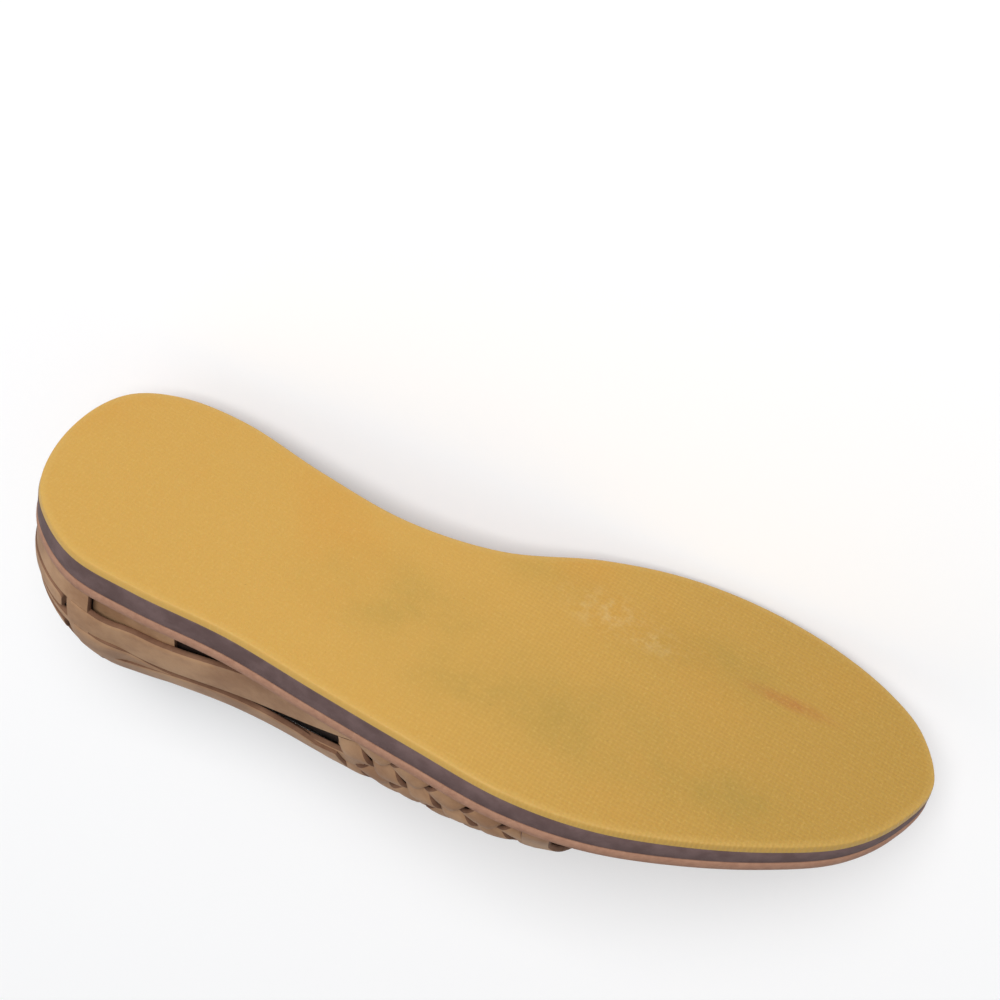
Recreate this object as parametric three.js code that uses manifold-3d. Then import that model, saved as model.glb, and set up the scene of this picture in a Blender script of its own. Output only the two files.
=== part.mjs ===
import * as THREE from "three";
import { ConvexHull } from "three/addons/math/ConvexHull.js";
import { mergeVertices } from "three/addons/utils/BufferGeometryUtils.js";
import Module from "manifold-3d";

// Left woven leather sandal, open at toe, lying on its inner (medial) side.
// Drawn standing: X heel to toe, Y to the outer (lateral) side, Z up from the ground. Millimetres.
const SOLE_LENGTH = 280;
const OUTSOLE_THICK = 2.5;
const MIDSOLE_THICK_HEEL = 8;
const MIDSOLE_THICK_TOE = 4;
const MIDSOLE_TAPER_POWER = 2.2;
const FOOTBED_THICK = 4;
const LAYER_GAP = 0.3;
const TOE_SPRING = 3.5;
const TOE_SPRING_FROM = 205;
const MIDSOLE_FLARE = 0.7;
const FOOTBED_FLARE = 1;
const EDGE_ROUND = 0.8;

const WALL = 2.2;
const COUNTER_THICK = 2;
const HEEL_RIDGE_ALONG = 40;
const TOE_RIDGE_ALONG = 238;
const BULGE_HEIGHT = 42;
const CROWN_ANGLE = 80;

const RING_STEPS = 3;
const WALL_RINGS = 10;
const CUT_REACH = 140;

// Plan outline of the sole, half widths from the centre line.
const HEEL_TIP_SIDE = -1.2;
const TOE_TIP_SIDE = -13.5;
const SOLE_ROWS = [
  { along: 3, lateral: 15.5, medial: 18.4 },
  { along: 10, lateral: 25, medial: 29 },
  { along: 24, lateral: 34, medial: 35.2 },
  { along: 45, lateral: 37, medial: 35.7 },
  { along: 75, lateral: 38.3, medial: 29.1 },
  { along: 105, lateral: 42.8, medial: 24.7 },
  { along: 135, lateral: 47.1, medial: 28.2 },
  { along: 165, lateral: 50.7, medial: 40.9 },
  { along: 190, lateral: 48.8, medial: 47.3 },
  { along: 215, lateral: 41.8, medial: 48.4 },
  { along: 240, lateral: 31, medial: 45.1 },
  { along: 260, lateral: 18.7, medial: 38.3 },
  { along: 273, lateral: 3.7, medial: 29.3 },
];

// The last: ridge height over the footbed, ridge side shift, inset of the foot from the
// sole edge and outward bulge of the wall.
const LAST_ROWS = [
  { along: 0, height: 64, ridge: 0, inset: 4, bulge: 2 },
  { along: 30, height: 64, ridge: 0, inset: 4.2, bulge: 1.5 },
  { along: 60, height: 63, ridge: -1, inset: 6, bulge: 0.5 },
  { along: 90, height: 62, ridge: -2, inset: 7.6, bulge: 0 },
  { along: 120, height: 60, ridge: -3, inset: 7.2, bulge: 0 },
  { along: 150, height: 51, ridge: -6, inset: 4.6, bulge: 0 },
  { along: 180, height: 42, ridge: -9, inset: 5.2, bulge: 0 },
  { along: 210, height: 34, ridge: -11, inset: 6.5, bulge: 0 },
  { along: 240, height: 28, ridge: -12, inset: 8, bulge: 0 },
  { along: 280, height: 24, ridge: -13, inset: 8, bulge: 0 },
];

// Side view of the upper, height from the ground: back, side strap, vamp front, throat, collar.
const SIDE_FORWARD = [
  { along: -30, up: 10 },
  { along: 30, up: 10 },
  { along: 31, up: 30 },
  { along: 39, up: 29 },
  { along: 49, up: 28.5 },
  { along: 56, up: 28.5 },
  { along: 64, up: 26 },
  { along: 73, up: 23 },
  { along: 82, up: 19 },
  { along: 88, up: 10 },
];
const LATERAL_FRONT = [
  { along: 184, up: 10 },
  { along: 186, up: 24 },
  { along: 193, up: 36 },
  { along: 201, up: 47 },
  { along: 204, up: 55 },
  { along: 204, up: 95 },
];
const MEDIAL_FRONT = [
  { along: 198, up: 10 },
  { along: 200, up: 24 },
  { along: 202, up: 36 },
  { along: 203.5, up: 47 },
  { along: 204, up: 55 },
  { along: 204, up: 95 },
];
const THROAT_AND_COLLAR = [
  { along: 124, up: 95 },
  { along: 120, up: 72 },
  { along: 114, up: 62 },
  { along: 104, up: 56.5 },
  { along: 90, up: 54 },
  { along: 68, up: 55 },
  { along: 45, up: 59 },
  { along: 20, up: 64 },
  { along: -30, up: 67 },
];
// The two open slits between the straps of each quarter.
const SLIT_STRAP_TO_COLLAR = [
  { along: 66, up: 46 },
  { along: 80, up: 40.5 },
  { along: 96, up: 34 },
  { along: 112, up: 28 },
  { along: 113, up: 30 },
  { along: 97, up: 37.2 },
  { along: 81, up: 43.6 },
  { along: 67, up: 48 },
];
const SLIT_BEHIND_COUNTER = [
  { along: 36, up: 44.4 },
  { along: 48, up: 44.8 },
  { along: 58, up: 42 },
  { along: 58.5, up: 43.8 },
  { along: 48, up: 47 },
  { along: 36, up: 46.4 },
];
const COUNTER_SIDE = [
  { along: -30, up: 10 },
  { along: 29, up: 10 },
  { along: 29.5, up: 30 },
  { along: 27, up: 44 },
  { along: 23, up: 56 },
  { along: 8, up: 60 },
  { along: -30, up: 61 },
];

// Grams per cubic millimetre, for the balance of the lying shoe.
const RUBBER_DENSITY = 0.00112;
const FOAM_DENSITY = 0.0003;
const LEATHER_DENSITY = 0.0009;

const wasm = await Module();
wasm.setup();

// Smooth value of a named column between the rows of a table.
function valueAt(rows, column, along) {
  const last = rows.length - 1;
  if (along <= rows[0].along) return rows[0][column];
  if (along >= rows[last].along) return rows[last][column];
  let i = 0;
  while (rows[i + 1].along < along) i += 1;
  const slope = (k) => {
    const a = rows[Math.max(k - 1, 0)];
    const b = rows[Math.min(k + 1, last)];
    return (b[column] - a[column]) / (b.along - a.along);
  };
  const span = rows[i + 1].along - rows[i].along;
  const t = (along - rows[i].along) / span;
  const low = rows[i][column] * (2 * t ** 3 - 3 * t ** 2 + 1);
  const high = rows[i + 1][column] * (3 * t ** 2 - 2 * t ** 3);
  const lead = slope(i) * span * (t ** 3 - 2 * t ** 2 + t);
  const trail = slope(i + 1) * span * (t ** 3 - t ** 2);
  return low + high + lead + trail;
}

// Heights of the layers at a place along the sole.
function groundLift(along) {
  const t = THREE.MathUtils.clamp((along - TOE_SPRING_FROM) / (SOLE_LENGTH - TOE_SPRING_FROM), 0, 1);
  return TOE_SPRING * t * t;
}
function midsoleThick(along) {
  const t = THREE.MathUtils.clamp(along / SOLE_LENGTH, 0, 1);
  return MIDSOLE_THICK_HEEL + (MIDSOLE_THICK_TOE - MIDSOLE_THICK_HEEL) * t ** MIDSOLE_TAPER_POWER;
}
const outsoleTop = (along) => groundLift(along) + OUTSOLE_THICK;
const midsoleBase = (along) => outsoleTop(along) + LAYER_GAP;
const midsoleTop = (along) => midsoleBase(along) + midsoleThick(along);
const footbedBase = (along) => midsoleTop(along) + LAYER_GAP;
const footbedTop = (along) => footbedBase(along) + FOOTBED_THICK;

// The sole outline as an even ring of plan points with outward normals, heel tip first, lateral side next.
const lateralSide = SOLE_ROWS.map((row) => new THREE.Vector3(row.along, row.lateral, 0));
const medialSide = SOLE_ROWS.map((row) => new THREE.Vector3(row.along, -row.medial, 0)).reverse();
const outlinePoints = [
  new THREE.Vector3(0, HEEL_TIP_SIDE, 0),
  ...lateralSide,
  new THREE.Vector3(SOLE_LENGTH, TOE_TIP_SIDE, 0),
  ...medialSide,
];
const outline = new THREE.CatmullRomCurve3(outlinePoints, true, "centripetal");
const RING = outlinePoints.length * RING_STEPS;
const ringPlan = [];
for (let i = 0; i < RING; i += 1) {
  const point = outline.getPoint(i / RING);
  const tangent = outline.getTangent(i / RING);
  ringPlan.push({ point, normal: new THREE.Vector3(-tangent.y, tangent.x, 0).normalize() });
}

// A ring of the sole grown outward, lifted to a height given along the foot.
function soleRing(grow, heightAt) {
  return ringPlan.map(({ point, normal }) => {
    const grown = point.clone().addScaledVector(normal, grow);
    grown.z = heightAt(point.x);
    return grown;
  });
}

// Closed solid through a stack of rings, its ends closed by strips from side to side.
function ringSolid(rings) {
  const count = rings[0].length;
  const positions = rings.flat().flatMap((p) => [p.x, p.y, p.z]);
  const index = [];
  for (let r = 0; r + 1 < rings.length; r += 1) {
    for (let i = 0; i < count; i += 1) {
      const a = r * count + i;
      const b = r * count + ((i + 1) % count);
      index.push(a, b + count, b, a, a + count, b + count);
    }
  }
  const top = (rings.length - 1) * count;
  for (let i = 0; i < count / 2; i += 1) {
    const j = (count - i) % count;
    const nextJ = count - i - 1;
    if (i > 0) {
      index.push(i, i + 1, j);
      index.push(top + i, top + j, top + i + 1);
    }
    if (i + 1 < nextJ) {
      index.push(j, i + 1, nextJ);
      index.push(top + j, top + nextJ, top + i + 1);
    }
  }
  const geometry = new THREE.BufferGeometry();
  geometry.setAttribute("position", new THREE.Float32BufferAttribute(positions, 3));
  geometry.setIndex(index);
  return geometry;
}

function toSolid(geometry) {
  const plain = geometry.clone();
  plain.deleteAttribute("normal");
  plain.deleteAttribute("uv");
  const merged = mergeVertices(plain, 1e-4);
  const mesh = new wasm.Mesh({
    numProp: 3,
    vertProperties: new Float32Array(merged.attributes.position.array),
    triVerts: new Uint32Array(merged.index.array),
  });
  const solid = new wasm.Manifold(mesh);
  return solid;
}
function toGeometry(solid) {
  const mesh = solid.getMesh();
  const geometry = new THREE.BufferGeometry();
  geometry.setAttribute("position", new THREE.Float32BufferAttribute(mesh.vertProperties, 3));
  geometry.setIndex(new THREE.Uint32BufferAttribute(mesh.triVerts, 1));
  return geometry;
}

// The foot's form over the footbed, grown outward: elliptic walls rising to the ridge.
function lastForm(grow, floorDrop) {
  const rings = [];
  for (let r = 0; r <= WALL_RINGS; r += 1) {
    const angle = THREE.MathUtils.degToRad((CROWN_ANGLE * r) / WALL_RINGS);
    const ring = ringPlan.map(({ point, normal }) => {
      const ridgeAlong = THREE.MathUtils.clamp(point.x, HEEL_RIDGE_ALONG, TOE_RIDGE_ALONG);
      const height = (valueAt(LAST_ROWS, "height", ridgeAlong) + grow) * Math.sin(angle);
      const foot = point.clone().addScaledVector(normal, grow - valueAt(LAST_ROWS, "inset", point.x));
      const ridge = new THREE.Vector3(ridgeAlong, valueAt(LAST_ROWS, "ridge", ridgeAlong), 0);
      const wall = foot.lerp(ridge, 1 - Math.cos(angle));
      const swell = Math.sin(Math.PI * Math.min(height / BULGE_HEIGHT, 1));
      wall.addScaledVector(normal, valueAt(LAST_ROWS, "bulge", point.x) * swell);
      wall.z = footbedTop(point.x) + LAYER_GAP + height;
      return wall;
    });
    if (r === 0 && floorDrop > 0) rings.push(ring.map((p) => new THREE.Vector3(p.x, p.y, p.z - floorDrop)));
    rings.push(ring);
  }
  return toSolid(ringSolid(rings));
}

// A side-view shape pushed through the shoe from one side to the other.
function sideCut(rows, fromSide, toSide) {
  const shape = new THREE.Shape(rows.map((row) => new THREE.Vector2(row.along, row.up)));
  const geometry = new THREE.ExtrudeGeometry(shape, { depth: toSide - fromSide, bevelEnabled: false });
  geometry.rotateX(Math.PI / 2);
  geometry.translate(0, toSide, 0);
  return toSolid(geometry);
}

const outsole = ringSolid([
  soleRing(-EDGE_ROUND / 2, (x) => groundLift(x)),
  soleRing(0, (x) => groundLift(x) + EDGE_ROUND),
  soleRing(MIDSOLE_FLARE / 2, outsoleTop),
]);
const midsole = ringSolid([
  soleRing(MIDSOLE_FLARE / 2, midsoleBase),
  soleRing(MIDSOLE_FLARE, midsoleTop),
]);
const footbed = ringSolid([
  soleRing(FOOTBED_FLARE, footbedBase),
  soleRing(FOOTBED_FLARE, (x) => footbedTop(x) - EDGE_ROUND),
  soleRing(FOOTBED_FLARE - EDGE_ROUND, footbedTop),
]);

// Upper: the wall between two forms of the foot, cut to vamp, side straps and collar.
const lateralPattern = sideCut([...SIDE_FORWARD, ...LATERAL_FRONT, ...THROAT_AND_COLLAR], 0, CUT_REACH);
const medialPattern = sideCut([...SIDE_FORWARD, ...MEDIAL_FRONT, ...THROAT_AND_COLLAR], -CUT_REACH, 0);
const upperWall = lastForm(WALL, 0)
  .subtract(lastForm(0, 2))
  .intersect(lateralPattern.add(medialPattern))
  .subtract(sideCut(SLIT_STRAP_TO_COLLAR, -CUT_REACH, CUT_REACH))
  .subtract(sideCut(SLIT_BEHIND_COUNTER, -CUT_REACH, CUT_REACH));

// Heel counter: a second wall standing off the upper, cut to the back of the shoe.
const counterFoot = WALL + LAYER_GAP;
const counterWall = lastForm(counterFoot + COUNTER_THICK, 0)
  .subtract(lastForm(counterFoot, 2))
  .intersect(sideCut(COUNTER_SIDE, -CUT_REACH, CUT_REACH));

const gumRubber = new THREE.MeshStandardMaterial({ color: 0xd0a759, roughness: 0.6, metalness: 0 });
const darkFoam = new THREE.MeshStandardMaterial({ color: 0x7f6a66, roughness: 0.85, metalness: 0 });
const rawLeather = new THREE.MeshStandardMaterial({ color: 0xb2846d, roughness: 0.8, metalness: 0 });
const buffLeather = new THREE.MeshStandardMaterial({ color: 0x9a765b, roughness: 0.7, metalness: 0 });

const pieces = [
  { name: "outsole", geometry: outsole, material: gumRubber, density: RUBBER_DENSITY },
  { name: "midsole", geometry: midsole, material: darkFoam, density: FOAM_DENSITY },
  { name: "footbed", geometry: footbed, material: rawLeather, density: LEATHER_DENSITY },
  { name: "upper", geometry: toGeometry(upperWall), material: buffLeather, density: LEATHER_DENSITY },
  { name: "heel_counter", geometry: toGeometry(counterWall), material: buffLeather, density: LEATHER_DENSITY },
];

// Centre of mass of the standing shoe.
function massCentre() {
  const centre = new THREE.Vector3();
  let mass = 0;
  for (const piece of pieces) {
    const points = piece.geometry.getAttribute("position");
    const index = piece.geometry.index.array;
    for (let i = 0; i < index.length; i += 3) {
      const [a, b, c] = [0, 1, 2].map((k) => new THREE.Vector3().fromBufferAttribute(points, index[i + k]));
      const part = (piece.density * a.dot(b.clone().cross(c))) / 6;
      mass += part;
      centre.addScaledVector(a.add(b).add(c), part / 4);
    }
  }
  return centre.divideScalar(mass);
}

// The facet of the shoe's hull on the medial side that the weight falls within lowest: the one it lies on.
function restingNormal() {
  const hullPoints = [];
  for (const piece of pieces) {
    const points = piece.geometry.getAttribute("position");
    for (let i = 0; i < points.count; i += 1) {
      hullPoints.push(new THREE.Vector3().fromBufferAttribute(points, i));
    }
  }
  const hull = new ConvexHull().setFromPoints(hullPoints);
  const centre = massCentre();
  let lowest = Infinity;
  let normal = null;
  for (const face of hull.faces) {
    if (face.normal.y > -0.6) continue;
    let edge = face.edge;
    let within = true;
    do {
      const tail = edge.tail().point;
      const head = edge.head().point;
      const inward = new THREE.Vector3().crossVectors(face.normal, head.clone().sub(tail));
      if (inward.dot(centre.clone().sub(tail)) < 0) within = false;
      edge = edge.next;
    } while (edge !== face.edge);
    const height = face.normal.dot(edge.head().point.clone().sub(centre));
    if (within && height < lowest) {
      lowest = height;
      normal = face.normal.clone();
    }
  }
  return normal;
}

// Lay the shoe down and set it on the ground, centred.
const up = restingNormal().negate();
const forward = new THREE.Vector3(1, 0, 0).addScaledVector(up, -up.x).normalize();
const across = new THREE.Vector3().crossVectors(up, forward);
const layDown = new THREE.Matrix4().makeBasis(forward, across, up).transpose();
const sandal = new THREE.Group();
sandal.name = "sandal";
const bounds = new THREE.Box3();
for (const piece of pieces) {
  piece.geometry.applyMatrix4(layDown);
  piece.geometry.computeBoundingBox();
  bounds.union(piece.geometry.boundingBox);
}
const middle = bounds.getCenter(new THREE.Vector3());
for (const piece of pieces) {
  piece.geometry.translate(-middle.x, -middle.y, -bounds.min.z);
  piece.geometry.computeVertexNormals();
  const mesh = new THREE.Mesh(piece.geometry, piece.material);
  mesh.name = piece.name;
  sandal.add(mesh);
}

export default sandal;
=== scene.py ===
import math

import bpy
import numpy as np
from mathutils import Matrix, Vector


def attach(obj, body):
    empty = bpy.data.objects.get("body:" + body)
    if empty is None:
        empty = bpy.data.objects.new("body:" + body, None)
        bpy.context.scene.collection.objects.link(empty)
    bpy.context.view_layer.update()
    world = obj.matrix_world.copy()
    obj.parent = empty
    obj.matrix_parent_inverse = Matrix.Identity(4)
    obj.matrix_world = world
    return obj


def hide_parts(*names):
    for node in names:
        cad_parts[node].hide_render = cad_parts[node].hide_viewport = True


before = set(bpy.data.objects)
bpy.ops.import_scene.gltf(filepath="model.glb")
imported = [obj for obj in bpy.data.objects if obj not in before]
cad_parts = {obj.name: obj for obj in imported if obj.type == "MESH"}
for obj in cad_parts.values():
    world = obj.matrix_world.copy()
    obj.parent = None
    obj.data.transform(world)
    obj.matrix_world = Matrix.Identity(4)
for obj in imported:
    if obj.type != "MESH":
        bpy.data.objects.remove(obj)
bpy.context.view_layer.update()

# OUTSOLE
# Thin sheet of ochre gum rubber, die cut to the foot's outline and cemented under the midsole.
# Its tread is a grid of fine embossed dots, worn almost smooth; its rim is painted paler, a painted glow
# standing in for light through the thin gum.
HEEL_TIP_SIDE = -1.2
TOE_TIP_SIDE = -13.5
SOLE_LENGTH = 280.0
SOLE_ROWS = [
    # along, lateral, medial (mm from the centre line)
    (3, 15.5, 18.4),
    (10, 25.0, 29.0),
    (24, 34.0, 35.2),
    (45, 37.0, 35.7),
    (75, 38.3, 29.1),
    (105, 42.8, 24.7),
    (135, 47.1, 28.2),
    (165, 50.7, 40.9),
    (190, 48.8, 47.3),
    (215, 41.8, 48.4),
    (240, 31.0, 45.1),
    (260, 18.7, 38.3),
    (273, 3.7, 29.3),
]
RING_STEPS = 10
# The shoe lies on its medial side: axes of the lying frame in the standing shoe, and its shift.
LYING_FORWARD = (0.99998762, -0.00452528, 0.00206989)
LYING_ACROSS = (0.0, -0.41595810, -0.90938378)
LYING_UP = (0.00497620, 0.90937252, -0.41595295)
LYING_SHIFT = (-139.866461, 25.662076, 49.125931)


def lay(points):
    """Standing shoe millimetres to metres in the lying frame."""
    turn = np.array([LYING_FORWARD, LYING_ACROSS, LYING_UP])
    return (np.asarray(points, float) @ turn.T + np.array(LYING_SHIFT)) / 1000.0


def outline_ring():
    """Closed smooth outline of the sole with outward normals, heel tip first, lateral side next."""
    lateral = [(a, l) for a, l, m in SOLE_ROWS]
    medial = [(a, -m) for a, l, m in SOLE_ROWS][::-1]
    knots = np.array([(0, HEEL_TIP_SIDE)] + lateral + [(SOLE_LENGTH, TOE_TIP_SIDE)] + medial, float)
    points = []
    slopes = []
    for i in range(len(knots)):
        p0, p1, p2, p3 = (knots[(i + k) % len(knots)] for k in (-1, 0, 1, 2))
        d0, d1, d2 = (np.sqrt(np.linalg.norm(b - a)) for a, b in ((p0, p1), (p1, p2), (p2, p3)))
        t1 = ((p1 - p0) / d0 - (p2 - p0) / (d0 + d1) + (p2 - p1) / d1) * d1
        t2 = ((p2 - p1) / d1 - (p3 - p1) / (d1 + d2) + (p3 - p2) / d2) * d1
        c2 = -3 * p1 + 3 * p2 - 2 * t1 - t2
        c3 = 2 * p1 - 2 * p2 + t1 + t2
        for k in range(RING_STEPS):
            t = k / RING_STEPS
            points.append(p1 + t1 * t + c2 * t * t + c3 * t**3)
            slopes.append(t1 + 2 * c2 * t + 3 * c3 * t * t)
    slopes = np.array(slopes)
    slopes /= np.linalg.norm(slopes, axis=1)[:, None]
    return np.array(points), np.c_[-slopes[:, 1], slopes[:, 0]]


RING_POINTS, RING_NORMALS = outline_ring()
TOE_SPRING = 3.5
TOE_SPRING_FROM = 205.0
OUTSOLE_THICK = 2.5
PLAN_UNIT = 100.0


def ground_lift(along):
    t = np.clip((along - TOE_SPRING_FROM) / (SOLE_LENGTH - TOE_SPRING_FROM), 0, 1)
    return TOE_SPRING * t * t


def layer_mesh(name, rings, rims):
    """Closed layer through rings of (grow, height along the foot); a rim value is kept per ring."""
    count = len(RING_POINTS)
    verts = []
    plan = []
    for (grow, height), rim_value in zip(rings, rims):
        xy = RING_POINTS + RING_NORMALS * grow
        z = height(RING_POINTS[:, 0])
        verts.append(np.c_[xy, z])
        plan.append(np.c_[xy, np.repeat(rim_value, count)])
    verts = np.vstack(verts)
    plan = np.vstack(plan)
    faces = []
    for r in range(len(rings) - 1):
        for i in range(count):
            a, b = r * count + i, r * count + (i + 1) % count
            faces.append((a, a + count, b + count, b))
    top = (len(rings) - 1) * count
    for i in range(count // 2):
        j, k = (count - i) % count, count - i - 1
        if i == 0:
            faces.append((0, 1, k))
            faces.append((top, top + k, top + 1))
        elif i + 1 == k:
            faces.append((i, i + 1, j))
            faces.append((top + i, top + j, top + i + 1))
        else:
            faces.append((i, i + 1, k, j))
            faces.append((top + i, top + j, top + k, top + i + 1))
    mesh = bpy.data.meshes.new(name)
    mesh.from_pydata(lay(verts).tolist(), [], faces)
    uv = mesh.uv_layers.new(name="Plan")
    corner = np.zeros(len(mesh.loops), np.int32)
    mesh.loops.foreach_get("vertex_index", corner)
    uv.data.foreach_set("uv", (plan[corner, :2] / PLAN_UNIT).ravel())
    mask = mesh.attributes.new("rim", "FLOAT", "POINT")
    mask.data.foreach_set("value", plan[:, 2].astype(np.float32))
    piece = bpy.data.objects.new(name, mesh)
    bpy.context.scene.collection.objects.link(piece)
    bpy.ops.object.select_all(action="DESELECT")
    piece.select_set(True)
    bpy.context.view_layer.objects.active = piece
    bpy.ops.object.mode_set(mode="EDIT")
    bpy.ops.mesh.select_all(action="SELECT")
    bpy.ops.mesh.normals_make_consistent(inside=False)
    bpy.ops.object.mode_set(mode="OBJECT")
    bpy.ops.object.shade_smooth_by_angle(angle=math.radians(40))
    return piece


def linear(red, green, blue):
    """sRGB bytes as linear colour."""
    out = []
    for value in (red, green, blue):
        v = value / 255.0
        out.append(v / 12.92 if v <= 0.04045 else ((v + 0.055) / 1.055) ** 2.4)
    return (*out, 1.0)


def new_material(name, colour, roughness):
    material = bpy.data.materials.new(name)
    material.use_nodes = True
    shader = material.node_tree.nodes["Principled BSDF"]
    shader.inputs["Base Color"].default_value = colour
    shader.inputs["Roughness"].default_value = roughness
    shader.inputs["Specular IOR Level"].default_value = 0.35
    return material, material.node_tree.nodes, material.node_tree.links, shader


def add_node(nodes, kind, **settings):
    node = nodes.new(kind)
    for key, value in settings.items():
        setattr(node, key, value)
    return node


def math_node(nodes, links, operation, first, second=None, third=None):
    node = add_node(nodes, "ShaderNodeMath", operation=operation)
    for socket, value in zip(node.inputs, (first, second, third)):
        if value is None:
            continue
        if isinstance(value, (int, float)):
            socket.default_value = value
        else:
            links.new(value, socket)
    return node.outputs[0]


def mix_colour(nodes, links, factor, first, second, blend="MIX"):
    node = add_node(nodes, "ShaderNodeMix", data_type="RGBA", blend_type=blend)
    for socket, value in ((node.inputs[0], factor), (node.inputs[6], first), (node.inputs[7], second)):
        if isinstance(value, (int, float, tuple)):
            socket.default_value = value
        else:
            links.new(value, socket)
    return node.outputs[2]


def noise_node(nodes, links, vector, scale, detail=3.0, roughness=0.5):
    node = add_node(nodes, "ShaderNodeTexNoise")
    links.new(vector, node.inputs["Vector"])
    node.inputs["Scale"].default_value = scale
    node.inputs["Detail"].default_value = detail
    node.inputs["Roughness"].default_value = roughness
    return node.outputs["Fac"]


def ramp_between(nodes, links, value, low, high):
    node = add_node(nodes, "ShaderNodeMapRange", interpolation_type="SMOOTHSTEP")
    links.new(value, node.inputs["Value"])
    node.inputs["From Min"].default_value = low
    node.inputs["From Max"].default_value = high
    return node.outputs["Result"]


def node_group(name, inputs, output, output_kind):
    """Shader node group with named sockets; returned with its inputs and its output."""
    group = bpy.data.node_groups.new(name, "ShaderNodeTree")
    for socket, kind in inputs:
        group.interface.new_socket(socket, in_out="INPUT", socket_type=kind)
    group.interface.new_socket(output, in_out="OUTPUT", socket_type=output_kind)
    given = add_node(group.nodes, "NodeGroupInput").outputs
    result = add_node(group.nodes, "NodeGroupOutput").inputs[output]
    return group, given, result


def soft_spot_group():
    """Mask falling smoothly from 1 at a centre to 0 at a radius, stretched by its shrink factors."""
    vectors = [(name, "NodeSocketVector") for name in ("Plan", "Centre", "Shrink")]
    inputs = vectors + [("Radius", "NodeSocketFloat")]
    group, given, mask = node_group("soft_spot", inputs, "Mask", "NodeSocketFloat")
    nodes = group.nodes
    links = group.links
    offset = add_node(nodes, "ShaderNodeVectorMath", operation="SUBTRACT")
    links.new(given["Plan"], offset.inputs[0])
    links.new(given["Centre"], offset.inputs[1])
    scaled = add_node(nodes, "ShaderNodeVectorMath", operation="MULTIPLY")
    links.new(offset.outputs[0], scaled.inputs[0])
    links.new(given["Shrink"], scaled.inputs[1])
    length = add_node(nodes, "ShaderNodeVectorMath", operation="LENGTH")
    links.new(scaled.outputs[0], length.inputs[0])
    fall = ramp_between(nodes, links, length.outputs["Value"], 0.0, 0.0)
    links.new(given["Radius"], fall.node.inputs["From Min"])
    links.new(fall, mask)
    return group


SOFT_SPOT = soft_spot_group()


def spot(nodes, links, uv, centre, radius, stretch):
    """Soft mask about a place on the sole's plan, all in millimetres."""
    node = add_node(nodes, "ShaderNodeGroup", node_tree=SOFT_SPOT)
    links.new(uv, node.inputs["Plan"])
    node.inputs["Centre"].default_value = (centre[0] / PLAN_UNIT, centre[1] / PLAN_UNIT, 0)
    node.inputs["Shrink"].default_value = (1 / stretch[0], 1 / stretch[1], 0)
    node.inputs["Radius"].default_value = radius / PLAN_UNIT
    return node.outputs["Mask"]


outsole = layer_mesh(
    "gum_outsole",
    [
        (-9.0, lambda x: ground_lift(x)),
        (-2.6, lambda x: ground_lift(x)),
        (-0.55, lambda x: ground_lift(x) + 0.02),
        (-0.2, lambda x: ground_lift(x) + 0.15),
        (0.0, lambda x: ground_lift(x) + 0.5),
        (0.2, lambda x: ground_lift(x) + 1.6),
        (0.35, lambda x: ground_lift(x) + OUTSOLE_THICK),
    ],
    (0.0, 0.0, 0.75, 1.0, 1.0, 1.0, 1.0),
)
gum, nodes, links, shader = new_material("gum_rubber", linear(212, 168, 82), 0.5)
plan_uv = add_node(nodes, "ShaderNodeUVMap", uv_map="Plan").outputs[0]
plan_axes = add_node(nodes, "ShaderNodeSeparateXYZ")
links.new(plan_uv, plan_axes.inputs[0])
along_foot = plan_axes.outputs["X"]
toe_tone = ramp_between(nodes, links, along_foot, 0.9, 2.75)
gum_colour = mix_colour(nodes, links, toe_tone, linear(202, 157, 74), linear(180, 140, 60))
cloud = ramp_between(nodes, links, noise_node(nodes, links, plan_uv, 3.1, 5.0, 0.6), 0.42, 0.68)
green_patches = None
for centre, radius, stretch in (
    ((150, 18), 36, (1.5, 0.8)),
    ((118, 6), 34, (1.6, 0.7)),
    ((203, -20), 30, (1.5, 0.6)),
    ((183, 20), 38, (1.7, 0.7)),
    ((155, -27), 20, (1.3, 0.6)),
    ((226, 22), 28, (1.4, 0.6)),
):
    patch = spot(nodes, links, plan_uv, centre, radius, stretch)
    if green_patches is None:
        green_patches = patch
    else:
        green_patches = math_node(nodes, links, "MAXIMUM", green_patches, patch)
green = math_node(nodes, links, "MULTIPLY", green_patches, math_node(nodes, links, "ADD", cloud, 0.35))
green = math_node(nodes, links, "MULTIPLY", green, 0.3)
gum_colour = mix_colour(nodes, links, green, gum_colour, linear(148, 130, 56))
orange = ramp_between(nodes, links, noise_node(nodes, links, plan_uv, 1.7, 3.0, 0.5), 0.52, 0.75)
orange = math_node(nodes, links, "MULTIPLY", orange, 0.28)
gum_colour = mix_colour(nodes, links, orange, gum_colour, linear(204, 143, 54))
smear = spot(nodes, links, plan_uv, (232, -18), 14, (1.5, 0.28))
smear = math_node(nodes, links, "MULTIPLY", smear, noise_node(nodes, links, plan_uv, 26.0, 4.0, 0.7))
smear = math_node(nodes, links, "MULTIPLY", smear, 0.8)
gum_colour = mix_colour(nodes, links, smear, gum_colour, linear(172, 92, 45))
speck = ramp_between(nodes, links, noise_node(nodes, links, plan_uv, 70.0, 2.0, 0.6), 0.735, 0.78)
dust_zone = math_node(
    nodes,
    links,
    "MAXIMUM",
    spot(nodes, links, plan_uv, (173, -22), 17, (1.4, 0.7)),
    spot(nodes, links, plan_uv, (186, -19), 13, (1.5, 0.6)),
)
dust_cloud = ramp_between(nodes, links, noise_node(nodes, links, plan_uv, 22.0, 5.0, 0.65), 0.42, 0.7)
dust = math_node(nodes, links, "MULTIPLY", dust_zone, dust_cloud)
dust = math_node(nodes, links, "MULTIPLY", dust, 0.3)
dust = math_node(nodes, links, "MULTIPLY_ADD", speck, 0.22, dust)
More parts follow.
